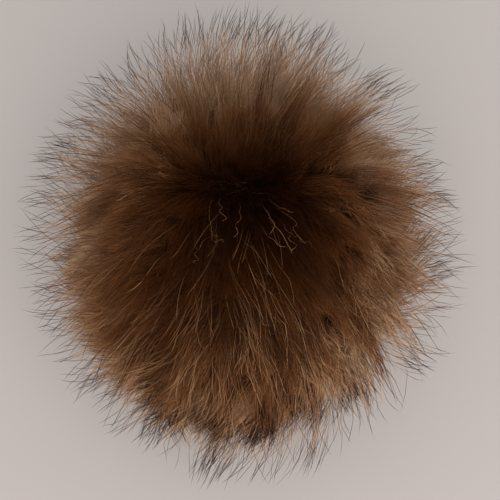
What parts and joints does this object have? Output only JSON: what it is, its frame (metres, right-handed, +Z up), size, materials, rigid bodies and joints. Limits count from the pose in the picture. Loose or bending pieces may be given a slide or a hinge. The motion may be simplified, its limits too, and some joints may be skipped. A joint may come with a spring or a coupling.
{
  "type": "fur pom pom",
  "caption": "Large round pom pom of long, soft brown fur with dark tips, gathered into a ball that parts at its crown and lies on a flat spot.",
  "frame": {"origin": "centre of the small flat spot that the ball rests on", "axes": "+Z up, away from the surface; +Y towards the side that the crown of the fur leans to; +X to the right with +Y pointing away from the viewer"},
  "size_m": [0.1409, 0.1558, 0.108],
  "materials": {
    "fur": "long silky animal fur: near-black brown at the roots, warm brown to tan along the hair, thin blackish guard-hair tips"
  },
  "bodies": {
    "root": {"fur_pom_pom": "fur"}
  },
  "joints": []
}
